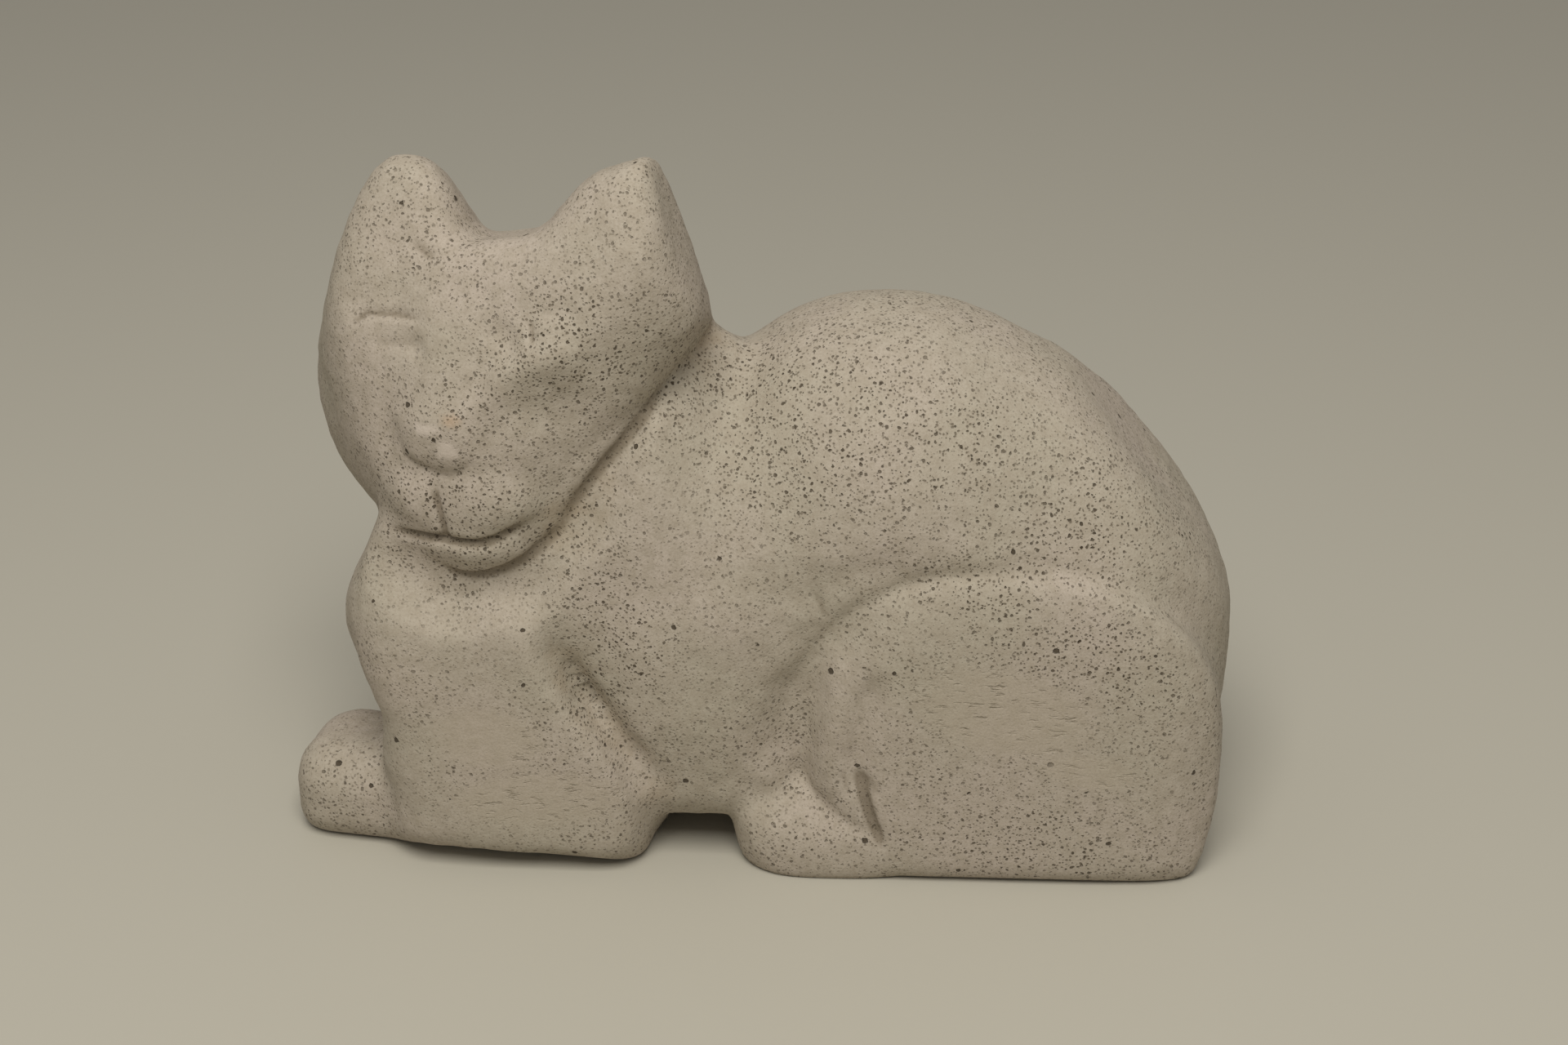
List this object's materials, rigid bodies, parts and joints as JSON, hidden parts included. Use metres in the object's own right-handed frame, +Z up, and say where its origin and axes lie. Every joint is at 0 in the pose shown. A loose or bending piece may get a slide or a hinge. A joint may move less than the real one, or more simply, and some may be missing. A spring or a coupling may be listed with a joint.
{
  "type": "cat figurine",
  "caption": "Crouching cat carved from one block of aerated concrete, forepaws tucked ahead, head turned to one side.",
  "frame": {"origin": "middle of the bounding box, on the underside that the figure stands on", "axes": "+X from the near forepaw to the rump, +Y from the flank on the face's side to the far flank, +Z up"},
  "size_m": [0.2536, 0.1, 0.1922],
  "materials": {
    "cat": "matt, pitted aerated concrete, warm pale grey"
  },
  "bodies": {
    "root": {"cat": "cat"}
  },
  "joints": []
}
